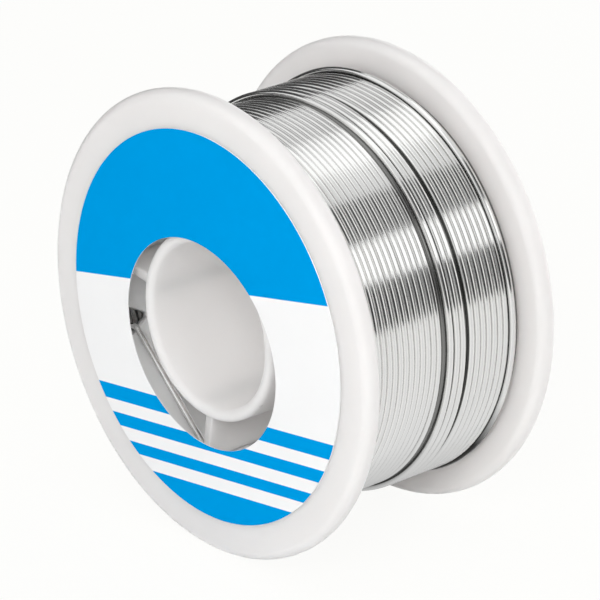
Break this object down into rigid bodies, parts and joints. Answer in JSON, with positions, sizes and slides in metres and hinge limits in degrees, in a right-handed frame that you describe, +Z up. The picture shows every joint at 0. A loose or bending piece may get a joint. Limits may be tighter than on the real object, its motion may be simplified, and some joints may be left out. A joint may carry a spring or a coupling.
{
  "type": "solder wire spool",
  "caption": "Flanged plastic reel wound with bright solder wire, with a ribbed hub, a round paper label and a bore for a spindle.",
  "frame": {"origin": "centre of the bore, halfway between the two flanges", "axes": "+Y along the bore from the labelled front to the rear, +Z up with the reel standing on the edges of its flanges, +X to the right seen from the front"},
  "size_m": [0.054, 0.0283, 0.054],
  "materials": {
    "white_plastic": "satin",
    "label_paper": "satin",
    "solder_wire": "bright"
  },
  "bodies": {
    "root": {"front_flange": "white_plastic", "rear_flange": "white_plastic", "winding_barrel": "white_plastic", "bore_hub": "white_plastic", "front_label": "label_paper", "solder_inner_layers": "solder_wire", "solder_outer_layer": "solder_wire", "solder_inner_end": "solder_wire"}
  },
  "joints": []
}
